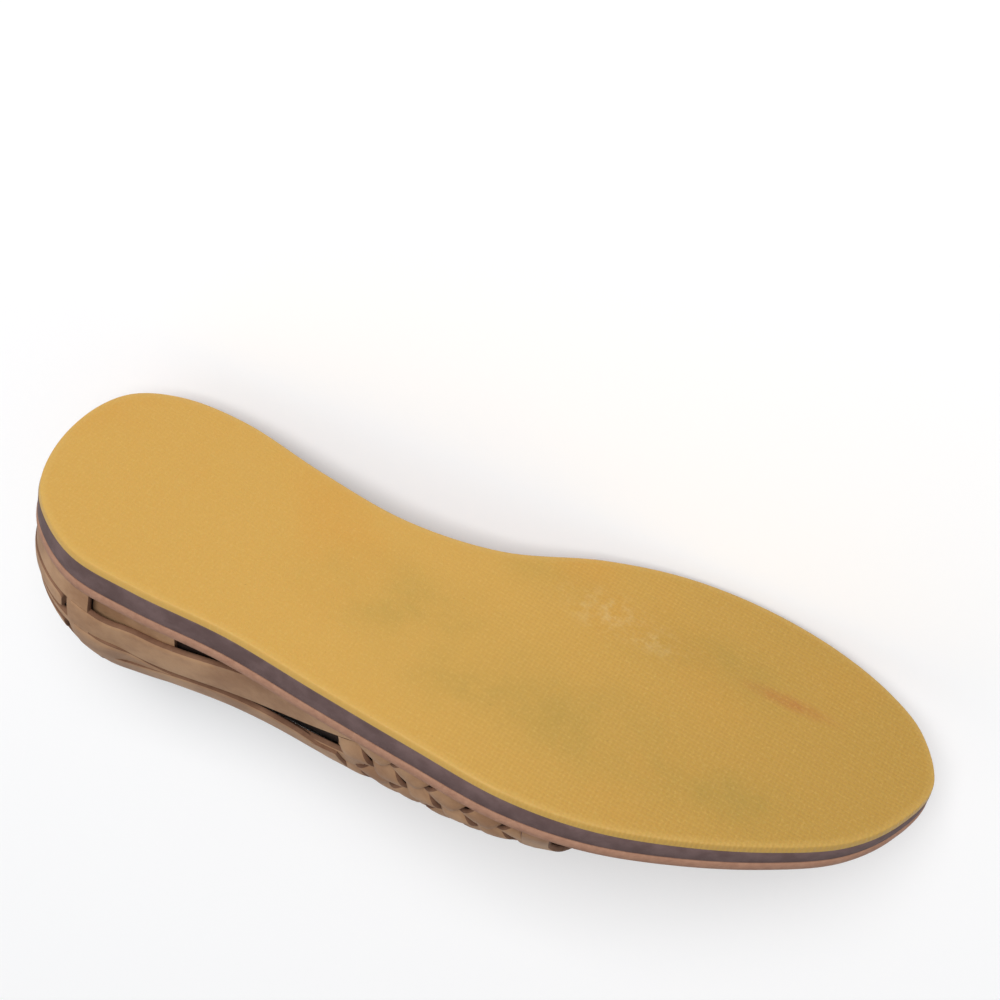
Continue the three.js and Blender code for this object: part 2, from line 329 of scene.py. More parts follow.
gum_colour = mix_colour(nodes, links, dust, gum_colour, linear(218, 198, 148))
dark_speck = ramp_between(nodes, links, noise_node(nodes, links, plan_uv, 46.0, 2.0, 0.5), 0.26, 0.2)
dark_speck = math_node(nodes, links, "MULTIPLY", dark_speck, 0.35)
gum_colour = mix_colour(nodes, links, dark_speck, gum_colour, linear(120, 92, 44))
DOT_PITCH = 1.9
DOT_GRID_TURN = math.radians(38)
FULL_TURN = 2 * math.pi
dot_turn = add_node(nodes, "ShaderNodeMapping")
links.new(plan_uv, dot_turn.inputs["Vector"])
dot_turn.inputs["Rotation"].default_value = (0, 0, DOT_GRID_TURN)
dot_turn.inputs["Scale"].default_value = (PLAN_UNIT / DOT_PITCH,) * 3
dot_axes = add_node(nodes, "ShaderNodeSeparateXYZ")
links.new(dot_turn.outputs[0], dot_axes.inputs[0])
waves = []
for axis in ("X", "Y"):
    phase = math_node(nodes, links, "MULTIPLY", dot_axes.outputs[axis], FULL_TURN)
    waves.append(math_node(nodes, links, "SINE", phase))
dots = math_node(nodes, links, "MULTIPLY", waves[0], waves[1])
worn = math_node(nodes, links, "ADD", ramp_between(nodes, links, along_foot, 1.1, 2.1), 0.22)
dots = math_node(nodes, links, "MULTIPLY", dots, worn)
grain = noise_node(nodes, links, plan_uv, 160.0, 3.0, 0.6)
dot_tone = ramp_between(nodes, links, dots, -0.6, 0.9)
dot_tone = math_node(nodes, links, "MULTIPLY", dot_tone, 0.16)
gum_colour = mix_colour(nodes, links, dot_tone, gum_colour, linear(158, 116, 44))
sand = ramp_between(nodes, links, noise_node(nodes, links, plan_uv, 95.0, 2.0, 0.7), 0.5, 0.72)
sand = math_node(nodes, links, "MULTIPLY", sand, 0.22)
gum_colour = mix_colour(nodes, links, sand, gum_colour, linear(214, 178, 98))
# Painted light: the rim is paler, standing in for light glowing through the thin gum's edge.
rim_mask = add_node(nodes, "ShaderNodeAttribute", attribute_name="rim").outputs["Fac"]
painted_rim_glow = math_node(nodes, links, "MULTIPLY", rim_mask, 0.45)
gum_colour = mix_colour(nodes, links, painted_rim_glow, gum_colour, linear(206, 169, 94))
links.new(gum_colour, shader.inputs["Base Color"])
relief = math_node(nodes, links, "ADD", math_node(nodes, links, "MULTIPLY", dots, 0.5), grain)
bump = add_node(nodes, "ShaderNodeBump")
bump.inputs["Strength"].default_value = 0.32
bump.inputs["Distance"].default_value = 0.0005
links.new(relief, bump.inputs["Height"])
links.new(bump.outputs[0], shader.inputs["Normal"])
rough = math_node(nodes, links, "MULTIPLY_ADD", noise_node(nodes, links, plan_uv, 6.0, 4.0, 0.6), 0.25, 0.42)
links.new(rough, shader.inputs["Roughness"])
shader.inputs["Subsurface Weight"].default_value = 0.12
shader.inputs["Subsurface Radius"].default_value = (0.004, 0.002, 0.0007)
shader.inputs["Subsurface Scale"].default_value = 0.5
outsole.data.materials.append(gum)
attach(outsole, "root")
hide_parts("outsole")

# MIDSOLE
# Dark foam rubber layer between outsole and footbed, thicker at the heel.
# Cut with the outsole and buffed, so its edge is matt with a fine cellular grain.
MIDSOLE_THICK_HEEL = 8.0
MIDSOLE_THICK_TOE = 4.0
MIDSOLE_TAPER_POWER = 2.2
LAYER_GAP = 0.3


def midsole_thick(along):
    t = np.clip(along / SOLE_LENGTH, 0, 1)
    return MIDSOLE_THICK_HEEL + (MIDSOLE_THICK_TOE - MIDSOLE_THICK_HEEL) * t**MIDSOLE_TAPER_POWER


def midsole_base(along):
    return ground_lift(along) + OUTSOLE_THICK


def midsole_top(along):
    return midsole_base(along) + LAYER_GAP + midsole_thick(along)


midsole = layer_mesh(
    "foam_midsole",
    [
        (-6.0, lambda x: midsole_base(x) + 0.02),
        (0.1, lambda x: midsole_base(x) + 0.02),
        (0.45, lambda x: midsole_base(x) + 0.4),
        (0.6, lambda x: midsole_base(x) + 0.5 * midsole_thick(x)),
        (0.75, lambda x: midsole_top(x) - 0.4),
        (0.45, lambda x: midsole_top(x) + 0.25),
        (-6.0, lambda x: midsole_top(x) + 0.25),
    ],
    (0.0, 1.0, 1.0, 1.0, 1.0, 1.0, 0.0),
)


def fine_grain_group():
    """Normal of a fine noise relief over a piece."""
    names = ("Scale", "Detail", "Roughness", "Strength", "Distance")
    inputs = [(name, "NodeSocketFloat") for name in names]
    group, given, normal = node_group("fine_grain", inputs, "Normal", "NodeSocketVector")
    nodes = group.nodes
    links = group.links
    place = add_node(nodes, "ShaderNodeTexCoord").outputs["Object"]
    relief = noise_node(nodes, links, place, 1.0)
    for name in names[:3]:
        links.new(given[name], relief.node.inputs[name])
    bump = add_node(nodes, "ShaderNodeBump")
    for name in names[3:]:
        links.new(given[name], bump.inputs[name])
    links.new(relief, bump.inputs["Height"])
    links.new(bump.outputs[0], normal)
    return group


FINE_GRAIN = fine_grain_group()


def add_grain(nodes, links, shader, **values):
    node = add_node(nodes, "ShaderNodeGroup", node_tree=FINE_GRAIN)
    for name, value in values.items():
        node.inputs[name].default_value = value
    links.new(node.outputs["Normal"], shader.inputs["Normal"])


foam, nodes, links, shader = new_material("midsole_rubber", linear(112, 92, 92), 0.8)
place = add_node(nodes, "ShaderNodeTexCoord").outputs["Object"]
streak = noise_node(nodes, links, place, 120.0, 4.0, 0.6)
streak = ramp_between(nodes, links, streak, 0.35, 0.7)
foam_colour = mix_colour(nodes, links, streak, linear(96, 75, 73), linear(114, 92, 90))
links.new(foam_colour, shader.inputs["Base Color"])
add_grain(nodes, links, shader, Scale=1400.0, Detail=3.0, Roughness=0.6, Strength=0.3, Distance=0.0004)
midsole.data.materials.append(foam)
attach(midsole, "root")
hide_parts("midsole")

# FOOTBED
# Board of vegetable tanned leather on the midsole, the layer the straps are lasted to.
# Its edge is left raw, pinkish and fibrous; the top is smooth with a darker foot mark.
FOOTBED_THICK = 4.0


def footbed_base(along):
    return midsole_top(along) + LAYER_GAP


def footbed_top(along):
    return footbed_base(along) + FOOTBED_THICK


footbed = layer_mesh(
    "leather_footbed",
    [
        (-6.0, lambda x: footbed_base(x)),
        (0.7, lambda x: footbed_base(x)),
        (1.05, lambda x: footbed_base(x) + 0.5),
        (1.1, lambda x: footbed_base(x) + 2.0),
        (1.0, lambda x: footbed_top(x) - 0.7),
        (0.5, lambda x: footbed_top(x) - 0.1),
        (-0.6, lambda x: footbed_top(x)),
        (-8.0, lambda x: footbed_top(x)),
    ],
    (0.0, 1.0, 1.0, 1.0, 1.0, 0.6, 0.0, 0.0),
)
board, nodes, links, shader = new_material("footbed_leather", linear(178, 130, 106), 0.75)
plan_uv = add_node(nodes, "ShaderNodeUVMap", uv_map="Plan").outputs[0]
place = add_node(nodes, "ShaderNodeTexCoord").outputs["Object"]
fibre = noise_node(nodes, links, place, 420.0, 5.0, 0.65)
edge_colour = mix_colour(nodes, links, fibre, linear(140, 98, 78), linear(190, 146, 120))
top_tone = noise_node(nodes, links, plan_uv, 1.6, 4.0, 0.6)
top_colour = mix_colour(nodes, links, top_tone, linear(172, 128, 92), linear(196, 152, 112))
tread = math_node(
    nodes,
    links,
    "MAXIMUM",
    spot(nodes, links, plan_uv, (38, 0), 40, (1.0, 0.8)),
    spot(nodes, links, plan_uv, (196, -4), 60, (1.0, 0.8)),
)
tread = math_node(nodes, links, "MULTIPLY", tread, 0.4)
top_colour = mix_colour(nodes, links, tread, top_colour, linear(138, 98, 68))
rim_mask = add_node(nodes, "ShaderNodeAttribute", attribute_name="rim").outputs["Fac"]
links.new(mix_colour(nodes, links, rim_mask, top_colour, edge_colour), shader.inputs["Base Color"])
add_grain(nodes, links, shader, Scale=900.0, Detail=4.0, Roughness=0.65, Strength=0.35, Distance=0.0005)
footbed.data.materials.append(board)
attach(footbed, "root")
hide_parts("footbed")

# UPPER
# Straps of buff tan leather about 10 mm wide, cut raw, lasted over the footbed's edge.
# Diagonal strips weave over and under across the vamp; a collar strap runs round the opening
# and a wide strap on each side runs down from the heel to the waist.
LAST_ROWS = [
    # along, ridge height, ridge side, inset, bulge
    (0, 64, 0, 4.0, 2.0),
    (30, 64, 0, 4.2, 1.5),
    (60, 63, -1, 6.0, 0.5),
    (90, 62, -2, 7.6, 0.0),
    (120, 60, -3, 7.2, 0.0),
    (150, 51, -6, 4.6, 0.0),
    (180, 42, -9, 5.2, 0.0),
    (210, 34, -11, 6.5, 0.0),
    (240, 28, -12, 8.0, 0.0),
    (280, 24, -13, 8.0, 0.0),
]
HEEL_RIDGE_ALONG = 40.0
TOE_RIDGE_ALONG = 238.0
BULGE_HEIGHT = 42.0
LAST_TABLE = np.array(LAST_ROWS, float)


def last_value(column, along):
    """Smooth value of a column of the last's rows at places along the foot."""
    xs = LAST_TABLE[:, 0]
    ys = LAST_TABLE[:, column]
    first = (ys[1] - ys[0]) / (xs[1] - xs[0])
    last = (ys[-1] - ys[-2]) / (xs[-1] - xs[-2])
    lead = np.r_[first, (ys[2:] - ys[:-2]) / (xs[2:] - xs[:-2]), last]
    along = np.clip(along, xs[0], xs[-1])
    i = np.clip(np.searchsorted(xs, along, side="right") - 1, 0, len(xs) - 2)
    span = xs[i + 1] - xs[i]
    t = (along - xs[i]) / span
    low = ys[i] * (2 * t**3 - 3 * t**2 + 1) + lead[i] * span * (t**3 - 2 * t**2 + t)
    return low + ys[i + 1] * (3 * t**2 - 2 * t**3) + lead[i + 1] * span * (t**3 - t**2)


RING_COUNT = len(RING_POINTS)
ring_gap = np.linalg.norm(np.diff(np.vstack([RING_POINTS, RING_POINTS[:1]]), axis=0), axis=1)
RING_GIRTH = np.r_[0, np.cumsum(ring_gap)]


def girth_at(along, side):
    """Signed distance round the sole's edge from the heel tip: lateral is positive."""
    half = RING_COUNT // 2
    if side > 0:
        return float(np.interp(along, RING_POINTS[: half + 1, 0], RING_GIRTH[: half + 1]))
    back = np.vstack([RING_POINTS[half:], RING_POINTS[:1]])
    return float(np.interp(-along, -back[:, 0], RING_GIRTH[half:] - RING_GIRTH[-1]))


def wall(girth, angle, lift):
    """Points on the last's wall: girth round the edge, angle up the ellipse, lift off the surface."""
    girth = np.asarray(girth, float) % RING_GIRTH[-1]
    ring = np.vstack([RING_POINTS, RING_POINTS[:1]])
    normal = np.vstack([RING_NORMALS, RING_NORMALS[:1]])
    point = np.c_[np.interp(girth, RING_GIRTH, ring[:, 0]), np.interp(girth, RING_GIRTH, ring[:, 1])]
    out = np.c_[np.interp(girth, RING_GIRTH, normal[:, 0]), np.interp(girth, RING_GIRTH, normal[:, 1])]
    ridge_along = np.clip(point[:, 0], HEEL_RIDGE_ALONG, TOE_RIDGE_ALONG)
    height = (last_value(1, ridge_along) + lift) * np.sin(angle)
    foot = point + out * (lift - last_value(3, point[:, 0]))[:, None]
    ridge = np.c_[ridge_along, last_value(2, ridge_along)]
    lean = (1 - np.cos(angle))[:, None]
    plan = foot * (1 - lean) + ridge * lean
    swell = last_value(4, point[:, 0]) * np.sin(np.pi * np.minimum(height / BULGE_HEIGHT, 1))
    plan = plan + out * swell[:, None]
    return np.c_[plan, footbed_top(point[:, 0]) + LAYER_GAP + height]


def side_wall(girth, height, lift):
    """As wall, with the height over the footbed given in millimetres."""
    girth = np.asarray(girth, float)
    along = np.interp(girth % RING_GIRTH[-1], RING_GIRTH, np.r_[RING_POINTS[:, 0], RING_POINTS[0, 0]])
    crown = last_value(1, np.clip(along, HEEL_RIDGE_ALONG, TOE_RIDGE_ALONG))
    sine = np.asarray(height, float) / crown
    angle = np.where(sine < 0, sine, np.arcsin(np.clip(sine, -1, 0.995)))
    return wall(girth, angle, lift)


ARC_STEPS = 61
VAMP_STATIONS = np.linspace(90, 225, 55)
ARC_ANGLES = np.linspace(0, np.pi, ARC_STEPS)


def over_top(along, angle, lift):
    """Points over the vamp: angle 0 at the lateral edge, half a turn at the medial edge."""
    along = np.asarray(along, float)
    half = RING_COUNT // 2
    lateral = np.interp(along, RING_POINTS[: half + 1, 0], RING_GIRTH[: half + 1])
    back = np.vstack([RING_POINTS[half:], RING_POINTS[:1]])
    medial = np.interp(-along, -back[:, 0], RING_GIRTH[half:])
    girth = np.where(angle <= np.pi / 2, lateral, medial)
    turn = np.where(angle <= np.pi / 2, angle, np.pi - angle)
    return wall(girth, turn, lift)


arc_table = []
for station in VAMP_STATIONS:
    section = over_top(np.repeat(station, ARC_STEPS), ARC_ANGLES, np.zeros(ARC_STEPS))
    arc_table.append(np.r_[0, np.cumsum(np.linalg.norm(np.diff(section, axis=0), axis=1))])
ARC_TABLE = np.array(arc_table)


def vamp(along, across, lift):
    """The vamp unrolled: across is millimetres up from the lateral edge and over to the medial one."""
    along = np.asarray(along, float)
    pitch = VAMP_STATIONS[1] - VAMP_STATIONS[0]
    order = np.clip((along - VAMP_STATIONS[0]) / pitch, 0, len(VAMP_STATIONS) - 1.001)
    low = order.astype(int)
    part = (order - low)[:, None]
    arcs = ARC_TABLE[low] * (1 - part) + ARC_TABLE[low + 1] * part
    angle = np.array([np.interp(a, row, ARC_ANGLES) for a, row in zip(across, arcs)])
    points = over_top(along, angle, lift)
    below = np.minimum(np.asarray(across, float), 0)
    beyond = np.minimum(arcs[:, -1] - across, 0)
    points[:, 2] += below + beyond
    return points


def ribbon(surface, path, width, thick, crown=0.0):
    """Strap swept over a surface: path rows of (u, v, lift); returns its vertices and faces.
    The width is one value or one a row. Sides and cut ends are marked as raw edge."""
    path = np.asarray(path, float)
    step = np.gradient(path[:, :2], axis=0)
    step /= np.linalg.norm(step, axis=1)[:, None] + 1e-9
    side = np.c_[-step[:, 1], step[:, 0]]
    half = np.broadcast_to(np.asarray(width, float) / 2, len(path))
    shoulder = 0.97 - crown
    inner = np.maximum(half - 0.35 - crown, 0.3 * half)
    profile = [(-half, 0.2), (-half, 0.7 - crown), (-inner, shoulder), (-half * 0.6, 1.0 - 0.4 * crown)]
    profile += [(0, 1.0), (half * 0.6, 1.0 - 0.4 * crown), (inner, shoulder), (half, 0.7 - crown)]
    profile += [(half, 0.2), (inner, 0.0), (0, 0.0), (-inner, 0.0)]
    raw = (1, 1, 0, 0, 0, 0, 1, 1, 1, 2, 2, 1)
    rings = []
    for b, n in profile:
        u = path[:, 0] + side[:, 0] * b
        v = path[:, 1] + side[:, 1] * b
        rings.append(surface(u, v, path[:, 2] + n * thick))
    count = len(profile)
    verts = np.stack(rings, axis=1).reshape(-1, 3)
    faces = []
    marks = []
    for i in range(len(path) - 1):
        for k in range(count):
            j = (k + 1) % count
            faces.append((i * count + k, i * count + j, (i + 1) * count + j, (i + 1) * count + k))
            marks.append(raw[k])
    faces.append(tuple(range(count - 1, -1, -1)))
    faces.append(tuple((len(path) - 1) * count + k for k in range(count)))
    marks += [1, 1]
    return verts, faces, marks


def strap_piece(name, ribbons, materials):
    """One mesh of many straps, pressed flat where the shoe lies on the floor."""
    verts = []
    faces = []
    marks = []
    base = 0
    for v, f, m in ribbons:
        verts.append(v)
        faces += [tuple(i + base for i in face) for face in f]
        marks += m
        base += len(v)
    mesh = bpy.data.meshes.new(name)
    placed = lay(np.vstack(verts))
    placed[:, 2] = np.maximum(placed[:, 2], 0.0003)
    mesh.from_pydata(placed.tolist(), [], faces)
    for material in materials:
        mesh.materials.append(material)
    mesh.polygons.foreach_set("material_index", np.array(marks, np.int32))
    piece = bpy.data.objects.new(name, mesh)
    bpy.context.scene.collection.objects.link(piece)
    bpy.ops.object.select_all(action="DESELECT")
    piece.select_set(True)
    bpy.context.view_layer.objects.active = piece
    bpy.ops.object.mode_set(mode="EDIT")
    bpy.ops.mesh.select_all(action="SELECT")
    bpy.ops.mesh.normals_make_consistent(inside=False)
    bpy.ops.object.mode_set(mode="OBJECT")
    bpy.ops.object.shade_smooth_by_angle(angle=math.radians(50))
    return piece


def leather_tone_group():
    """Colour mottled between a dark and a light tone of leather."""
    inputs = (("Dark", "NodeSocketColor"), ("Light", "NodeSocketColor"))
    group, given, result = node_group("leather_tone", inputs, "Color", "NodeSocketColor")
    nodes = group.nodes
    links = group.links
    place = add_node(nodes, "ShaderNodeTexCoord").outputs["Object"]
    tone = ramp_between(nodes, links, noise_node(nodes, links, place, 55.0, 5.0, 0.6), 0.32, 0.68)
    colour = mix_colour(nodes, links, tone, given["Dark"], given["Light"])
    fine = noise_node(nodes, links, place, 700.0, 4.0, 0.65)
    fine = math_node(nodes, links, "MULTIPLY", fine, 0.3)
    links.new(mix_colour(nodes, links, fine, colour, given["Dark"]), result)
    return group


LEATHER_TONE = leather_tone_group()


def leather(name, dark, light, roughness, grain_scale, grain_depth):
    material, nodes, links, shader = new_material(name, light, roughness)
    tone = add_node(nodes, "ShaderNodeGroup", node_tree=LEATHER_TONE)
    tone.inputs["Dark"].default_value = dark
    tone.inputs["Light"].default_value = light
    links.new(tone.outputs["Color"], shader.inputs["Base Color"])
    values = {"Scale": grain_scale, "Detail": 4.0, "Roughness": 0.6, "Strength": 0.4, "Distance": grain_depth}
    add_grain(nodes, links, shader, **values)
    return material


strap_face = leather("strap_leather", linear(148, 109, 78), linear(186, 147, 111), 0.65, 900.0, 0.0004)
strap_edge = leather("strap_raw_edge", linear(96, 64, 46), linear(140, 104, 80), 0.9, 1600.0, 0.0006)
# Flesh side painted near black as painted shade; it also colours the shade sheets behind the weave, the side
# slits and the counter.
flesh_side_and_shade = leather("flesh_side_and_painted_shade", linear(34, 22, 17), linear(54, 36, 27), 0.95, 1400.0, 0.0006)

STRIP_SPACING = 12.0
STRIP_WIDTH = 9.7
STRIP_THICK = 1.9
STRIP_SLANT = math.radians(58)
STRIP_CROWN = 0.12
WEAVE_SWING = 1.45
WEAVE_MIDDLE = -0.4
VAMP_ORIGIN = 119.0
VAMP_FRONT_ROWS = [
    # share of the way across, along
    (0, 178.0),
    (0.1, 179.5),
    (0.3, 189.5),
    (0.5, 200.0),
    (0.75, 200.5),
    (1, 195.5),
]
VAMP_BACK_ROWS = [
    # share of the way across, along
    (0, 115.0),
    (0.25, 116.0),
    (0.5, 122.0),
    (0.75, 116.0),
    (1, 115.0),
]
STRIP_OVERHANG = 1.5
# Dark sheet behind the weave, painted shade:
SHADE_SHEET_LIFT = -2.6
SHADE_SHEET_WIDTH = 9.6
SHADE_SHEET_PITCH = 9.0


def along_at(share, rows):
    """Place along the foot at a share of the way across, from rows of (share, along)."""
    shares, alongs = zip(*rows)
    return float(np.interp(share, shares, alongs))


def vamp_width(along):
    return float(np.interp(along, VAMP_STATIONS, ARC_TABLE[:, -1]))


weave = []
slant_run = math.cos(STRIP_SLANT)
slant_rise = math.sin(STRIP_SLANT)
for family in (1, -1):
    for number in range(-14, 24):
        rows = []
        for across in np.arange(-STRIP_OVERHANG, 175, 0.9):
            along = VAMP_ORIGIN + number * STRIP_SPACING + family * across * slant_run / slant_rise
            if not 100 < along < 212:
                continue
            if across > vamp_width(along) + STRIP_OVERHANG:
                continue
            share = across / vamp_width(along)
            if not along_at(share, VAMP_BACK_ROWS) <= along <= along_at(share, VAMP_FRONT_ROWS):
                continue
            crossing = (along - VAMP_ORIGIN + family * across * slant_run / slant_rise) / STRIP_SPACING
            swing = math.cos(math.pi * (crossing + number))
            lift = WEAVE_MIDDLE + WEAVE_SWING * (swing if family > 0 else -swing)
            rows.append((along, across, lift))
        if len(rows) < 16:
            continue
        weave.append(ribbon(vamp, rows, STRIP_WIDTH, STRIP_THICK, STRIP_CROWN))
# Painted shade: a dark sheet behind the weave, seen only as dark lines between the strips.
for station in np.arange(VAMP_ORIGIN, 196.0, SHADE_SHEET_PITCH):
    rows = []
    for across in np.linspace(1.0, vamp_width(station) - 1.0, 70):
        rows.append((station, across, SHADE_SHEET_LIFT))
    verts, faces, marks = ribbon(vamp, rows, SHADE_SHEET_WIDTH, 1.0)
    weave.append((verts, faces, [2] * len(marks)))
# A plain strip binds the front of the weave; its cut end stands out at the lateral edge.
FRONT_BAND_WIDTH = 8.6
FRONT_BAND_LIFT = 0.9
FRONT_BAND_END_LIFT = 2.4
FRONT_BAND_END_REACH = 7.0
FRONT_BAND_ROWS = [
    # share of the way across, along
    (0, 177.5),
    (0.1, 178.8),
    (0.3, 189.5),
    (0.5, 200.0),
    (0.75, 200.8),
    (1, 196.3),
]
band_rows = []
for share in np.linspace(0.0, 1.0, 110):
    along = along_at(share, FRONT_BAND_ROWS)
    across = share * (vamp_width(along) + 2 * STRIP_OVERHANG) - STRIP_OVERHANG
    end_lift = FRONT_BAND_END_LIFT * math.exp(-((across / FRONT_BAND_END_REACH) ** 2))
    band_rows.append((along, across, FRONT_BAND_LIFT + end_lift))
weave.append(ribbon(vamp, band_rows, FRONT_BAND_WIDTH, STRIP_THICK))
woven_vamp = strap_piece("woven_vamp", weave, (strap_face, strap_edge, flesh_side_and_shade))
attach(woven_vamp, "root")
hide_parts("upper")

COLLAR_WIDTH = 11.5
COLLAR_OVER_COUNTER = 1.5
COLLAR_ROWS = [
    # along, height over the footbed
    (0, 44.0),
    (10, 43.5),
    (24, 41.5),
    (45, 37.5),
    (65, 34.5),
    (85, 33.0),
    (100, 33.5),
    (112, 38.0),
]
SIDE_STRAP_ROWS = [
    # along, height over the footbed, width
    (24, 11.0, 9.5),
    (30, 12.2, 10.0),
    (37, 14.8, 11.5),
    (46, 17.6, 14.0),
    (56, 19.2, 15.0),
    (68, 18.4, 15.0),
    (82, 15.4, 15.0),
    (96, 10.8, 15.0),
    (108, 6.0, 15.0),
    (119, 0.5, 15.0),
]
QUARTER_ROWS = [
    # along, height over the footbed, width
    (24, 27.0, 20.0),
    (30, 28.0, 19.0),
    (38, 30.2, 16.0),
    (48, 33.0, 12.0),
    (58, 34.8, 9.0),
    (68, 35.5, 8.0),
]
LOWER_COLLAR_WIDTH = 10.0
LOWER_COLLAR_ROWS = [
    # along, height over the footbed
    (56, 39.5),
    (70, 39.0),
    (84, 36.5),
    (98, 34.5),
    (110, 31.5),
    (123, 26.5),
]
INNER_STRAP_ROWS = [
    # along, height over the footbed
    (22, 8.5),
    (34, 8.5),
    (46, 8.0),
    (57, 7.5),
]
# Dark strips behind the gaps and slits between the side straps: painted shade, so no floor shows through.
SHADE_BACKING_ROWS = [
    # along, height over the footbed
    (52, 8.0),
    (70, 9.0),
    (90, 12.0),
    (112, 10.0),
]
SLIT_SHADE_BACKING_ROWS = [
    # along, height over the footbed
    (26, 20.0),
    (36, 22.0),
    (50, 27.5),
    (64, 30.5),
    (78, 30.5),
    (94, 27.5),
    (110, 23.5),
    (124, 18.5),
]


def side_path(rows, side, lift, samples):
    """Smooth path on one side of the shoe from rows of (along, height)."""
    rows = np.array(rows, float)[:, :2]
    girth = np.array([girth_at(a, side) for a in rows[:, 0]])
    order = np.linspace(0, len(rows) - 1, samples)
    path = []
    for column in (girth, rows[:, 1]):
        lead = np.gradient(column)
        i = np.clip(order.astype(int), 0, len(rows) - 2)
        t = order - i
        low = column[i] * (2 * t**3 - 3 * t**2 + 1) + lead[i] * (t**3 - 2 * t**2 + t)
        path.append(low + column[i + 1] * (3 * t**2 - 2 * t**3) + lead[i + 1] * (t**3 - t**2))
    return np.c_[path[0], path[1], np.repeat(lift, samples)]


# Near the heel the side strap and the quarter rise flush with the counter they are cut with.
JOIN_START = 31.0
JOIN_END = 44.0
JOIN_LIFT = 2.68
PATH_STEPS = 60
STRAP_THICK = 1.8
SIDE_STRAP_LIFT = 0.9
QUARTER_LIFT = 0.7
INNER_STRAP_LIFT = -0.6
INNER_STRAP_WIDTH = 17.0
INNER_STRAP_THICK = 1.6
LOWER_COLLAR_THICK = 1.7
SHADE_BACKING_LIFT = -2.4
SHADE_BACKING_THICK = 1.2
SHADE_BACKING_WIDTH = 20.0
SLIT_SHADE_BACKING_WIDTH = 19.0
straps = []
for side in (1, -1):
    inner = side_path(INNER_STRAP_ROWS, side, INNER_STRAP_LIFT, 40)
    straps.append(ribbon(side_wall, inner, INNER_STRAP_WIDTH, INNER_STRAP_THICK))
    lower = side_path(LOWER_COLLAR_ROWS, side, 0.0, 50)
    straps.append(ribbon(side_wall, lower, LOWER_COLLAR_WIDTH, LOWER_COLLAR_THICK))
    for rows, rest_lift in ((SIDE_STRAP_ROWS, SIDE_STRAP_LIFT), (QUARTER_ROWS, QUARTER_LIFT)):
        path = side_path(rows, side, rest_lift, PATH_STEPS)
        order = np.linspace(0, 1, PATH_STEPS)
        row_order = np.linspace(0, 1, len(rows))
        reach = np.interp(order, row_order, [row[0] for row in rows])
        rise = np.clip((JOIN_END - reach) / (JOIN_END - JOIN_START), 0, 1)
        path[:, 2] += (JOIN_LIFT - rest_lift) * rise**2 * (3 - 2 * rise)
        widths = np.interp(order, row_order, [row[2] for row in rows])
        straps.append(ribbon(side_wall, path, widths, STRAP_THICK))
    # Painted shade: dark strips behind the side straps' gaps and slits.
    for rows, width in ((SHADE_BACKING_ROWS, SHADE_BACKING_WIDTH), (SLIT_SHADE_BACKING_ROWS, SLIT_SHADE_BACKING_WIDTH)):
        path = side_path(rows, side, SHADE_BACKING_LIFT, 50)
        verts, faces, marks = ribbon(side_wall, path, width, SHADE_BACKING_THICK)
        straps.append((verts, faces, [2] * len(marks)))
# The collar is one strap round the back, rising over the counter's top.
COLLAR_LIFT = 0.9
COLLAR_RISE_END = 75.0
COLLAR_RISE_LENGTH = 30.0
lateral_half = side_path(COLLAR_ROWS, 1, COLLAR_LIFT, PATH_STEPS)
medial_half = side_path(COLLAR_ROWS, -1, COLLAR_LIFT, PATH_STEPS)
for half_loop in (lateral_half, medial_half):
    rise = (COLLAR_RISE_END - np.abs(half_loop[:, 0])) / COLLAR_RISE_LENGTH
    half_loop[:, 2] += COLLAR_OVER_COUNTER * np.clip(rise, 0, 1)
collar_loop = np.vstack([lateral_half[::-1], medial_half[1:]])
straps.append(ribbon(side_wall, collar_loop, COLLAR_WIDTH, STRAP_THICK))
# The throat strap closes the opening over the back of the weave.
THROAT_LIFT = 1.0
THROAT_WIDTH = 10.0
THROAT_ROWS = [
    # share of the way across, along
    (0.2, 108.0),
    (0.35, 116.0),
    (0.5, 121.0),
    (0.65, 116.0),
    (0.8, 108.0),
]
throat = []
for share in np.linspace(0.2, 0.8, PATH_STEPS):
    along = along_at(share, THROAT_ROWS)
    throat.append((along, share * vamp_width(along), THROAT_LIFT))
straps.append(ribbon(vamp, throat, THROAT_WIDTH, STRAP_THICK))
side_straps = strap_piece("side_straps", straps, (strap_face, strap_edge, flesh_side_and_shade))
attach(side_straps, "root")
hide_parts("upper")

# HEEL COUNTER
# Back piece of the same leather wrapped round the heel outside the straps, lasted over the footbed.
# Level slits are cut through it, with strips lying in them round the heel to rounded free ends.
COUNTER_THICK = 1.8
COUNTER_LIFT = 2.5
COUNTER_BANDS = [
    # height of the band's middle, its width
    (3.2, 8.8),
    (18.4, 3.6),
    (31.0, 3.6),
    (41.5, 8.0),
]
THREADED_STRIPS = [
    # height of the strip's middle, its width, where it ends along the foot
    (11.2, 6.4, 21.0),
    (24.7, 6.6, 20.0),
    (36.2, 5.0, 17.0),
]
ROUND_STEPS = 90
BAND_FRONT = 26.0
STRIP_RISE = 0.3
STRIP_ROUNDING = 0.035
STRIP_END_SHARE = 0.25
# Dark sheet inside the counter, painted shade seen through its slits:
COUNTER_SHADE_SHEET_FRONT = 30.0
COUNTER_SHADE_SHEET_HEIGHT = 21.0
COUNTER_SHADE_SHEET_LIFT = 0.4
COUNTER_SHADE_SHEET_WIDTH = 42.0
COUNTER_SHADE_SHEET_THICK = 1.2
PANEL_ALONG = 26.6
PANEL_WIDTH = 8.5
PANEL_RISE = 0.1
PANEL_TOP = 39.0


def round_heel(front, height, lift):
    """Level path round the back of the heel between two places along the foot."""
    girth = np.linspace(girth_at(front, 1), girth_at(front, -1), ROUND_STEPS)
    return np.c_[girth, np.repeat(height, ROUND_STEPS), np.repeat(lift, ROUND_STEPS)]


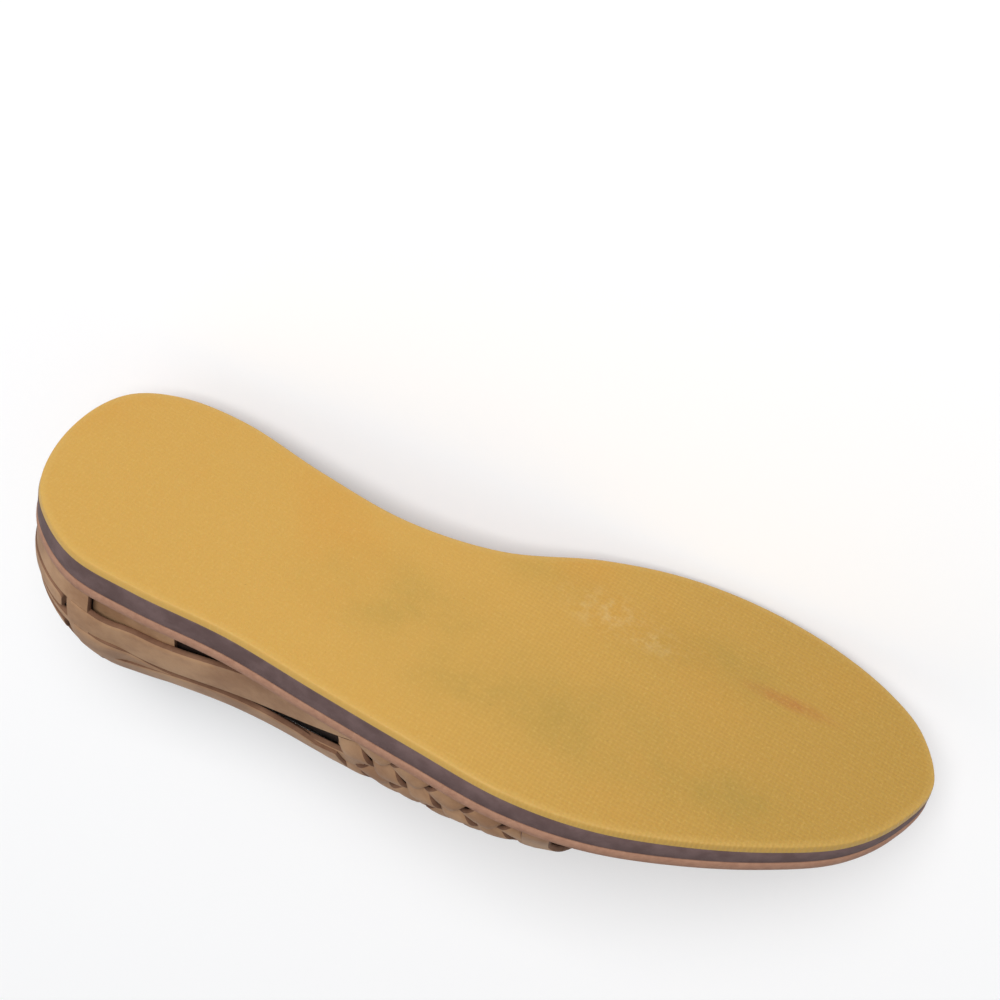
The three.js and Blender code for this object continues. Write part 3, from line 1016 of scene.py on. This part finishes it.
bands = []
for height, width in COUNTER_BANDS:
    bands.append(ribbon(side_wall, round_heel(BAND_FRONT, height, COUNTER_LIFT), width, COUNTER_THICK))
for height, width, front in THREADED_STRIPS:
    path = round_heel(front, height, COUNTER_LIFT + STRIP_RISE)
    ends = np.minimum(np.linspace(0, 1, ROUND_STEPS), np.linspace(1, 0, ROUND_STEPS))
    fullness = np.clip(ends / STRIP_ROUNDING + STRIP_END_SHARE, 0, 1)
    bands.append(ribbon(side_wall, path, width * np.sqrt(1 - (1 - fullness) ** 2), COUNTER_THICK))
# Painted shade: a dark sheet inside the counter, seen through the slits as shaded gaps.
counter_shade_sheet = round_heel(COUNTER_SHADE_SHEET_FRONT, COUNTER_SHADE_SHEET_HEIGHT, COUNTER_SHADE_SHEET_LIFT)
verts, faces, marks = ribbon(side_wall, counter_shade_sheet, COUNTER_SHADE_SHEET_WIDTH, COUNTER_SHADE_SHEET_THICK)
bands.append((verts, faces, [2] * len(marks)))
for side in (1, -1):
    girth = girth_at(PANEL_ALONG, side)
    panel = [(girth, height, COUNTER_LIFT + PANEL_RISE) for height in np.linspace(-1, PANEL_TOP, 40)]
    bands.append(ribbon(side_wall, panel, PANEL_WIDTH, COUNTER_THICK))
counter = strap_piece("slit_counter", bands, (strap_face, strap_edge, flesh_side_and_shade))
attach(counter, "root")
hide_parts("heel_counter")

# FLOOR, LIGHT AND CAMERA
# Plain white floor under soft light; the camera looks down on the tread, rolled over.
bpy.ops.mesh.primitive_plane_add(size=6.0, location=(0, 0, 0))
floor = bpy.context.object
floor.name = "floor"
floor_paint, nodes, links, shader = new_material("floor_paint", (0.97, 0.97, 0.972, 1.0), 0.9)
floor.data.materials.append(floor_paint)


def soft_light(name, location, target, size, power):
    bpy.ops.object.light_add(type="AREA", location=location)
    lamp = bpy.context.object
    lamp.name = name
    lamp.data.size = size
    lamp.data.energy = power
    lamp.rotation_euler = (Vector(target) - Vector(location)).to_track_quat("-Z", "Y").to_euler()
    return lamp


soft_light("key_light", (-0.2, 1.5, 2.5), (0, 0, 0.04), 1.9, 78.0)
soft_light("fill_light", (-0.9, -0.9, 1.0), (0, 0, 0.04), 1.6, 4.0)
world = bpy.data.worlds.new("studio")
world.use_nodes = True
world.node_tree.nodes["Background"].inputs["Color"].default_value = (0.95, 0.97, 1.0, 1.0)
world.node_tree.nodes["Background"].inputs["Strength"].default_value = 0.26
bpy.context.scene.world = world
bpy.context.scene.view_settings.view_transform = "Standard"

bpy.ops.object.camera_add(location=(0.02844, 0.26586, 0.48975))
camera = bpy.context.object
camera.name = "camera"
camera.rotation_euler = [math.radians(a) for a in (-21.4815, 12.9916, 19.3064)]
camera.data.sensor_width = 36.0
camera.data.lens = 61.2
camera.data.clip_start = 0.01
bpy.context.scene.camera = camera
